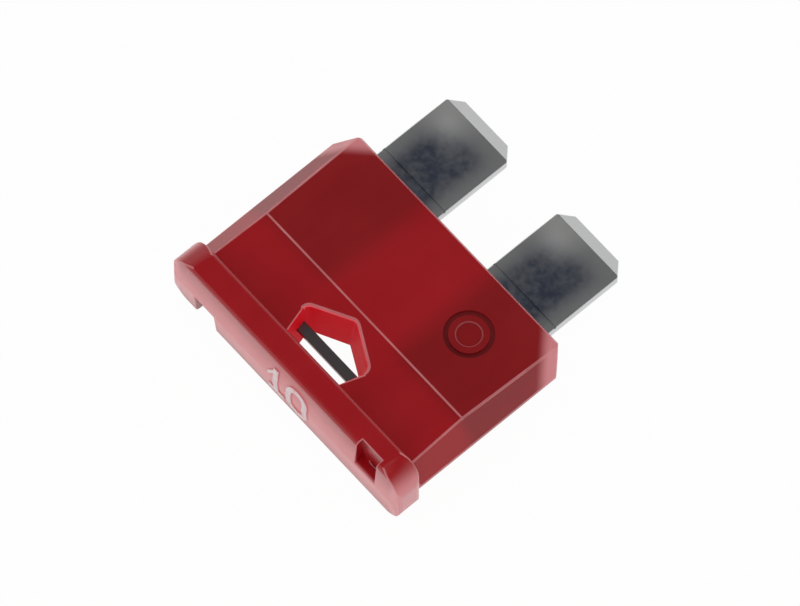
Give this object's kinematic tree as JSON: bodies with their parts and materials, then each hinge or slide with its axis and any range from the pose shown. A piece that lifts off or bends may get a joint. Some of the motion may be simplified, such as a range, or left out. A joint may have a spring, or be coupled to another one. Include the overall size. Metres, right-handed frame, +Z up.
{
  "type": "automotive blade fuse",
  "caption": "Plug-in blade fuse: translucent red housing with a gripping head and a window, over a one-piece metal element with flat blades.",
  "frame": {"origin": "under the middle of the whole fuse's bounding box, on the surface that the back of the head lies on", "axes": "+X across the head, +Y from the head towards the blade tips, +Z up through the thickness"},
  "size_m": [0.019, 0.0192, 0.0051],
  "materials": {
    "red_plastic": "translucent moulded plastic, satin",
    "tinned_metal": "dull tin plate with stamped edges"
  },
  "bodies": {
    "root": {"housing": "red_plastic", "fuse_element": "tinned_metal"}
  },
  "joints": []
}
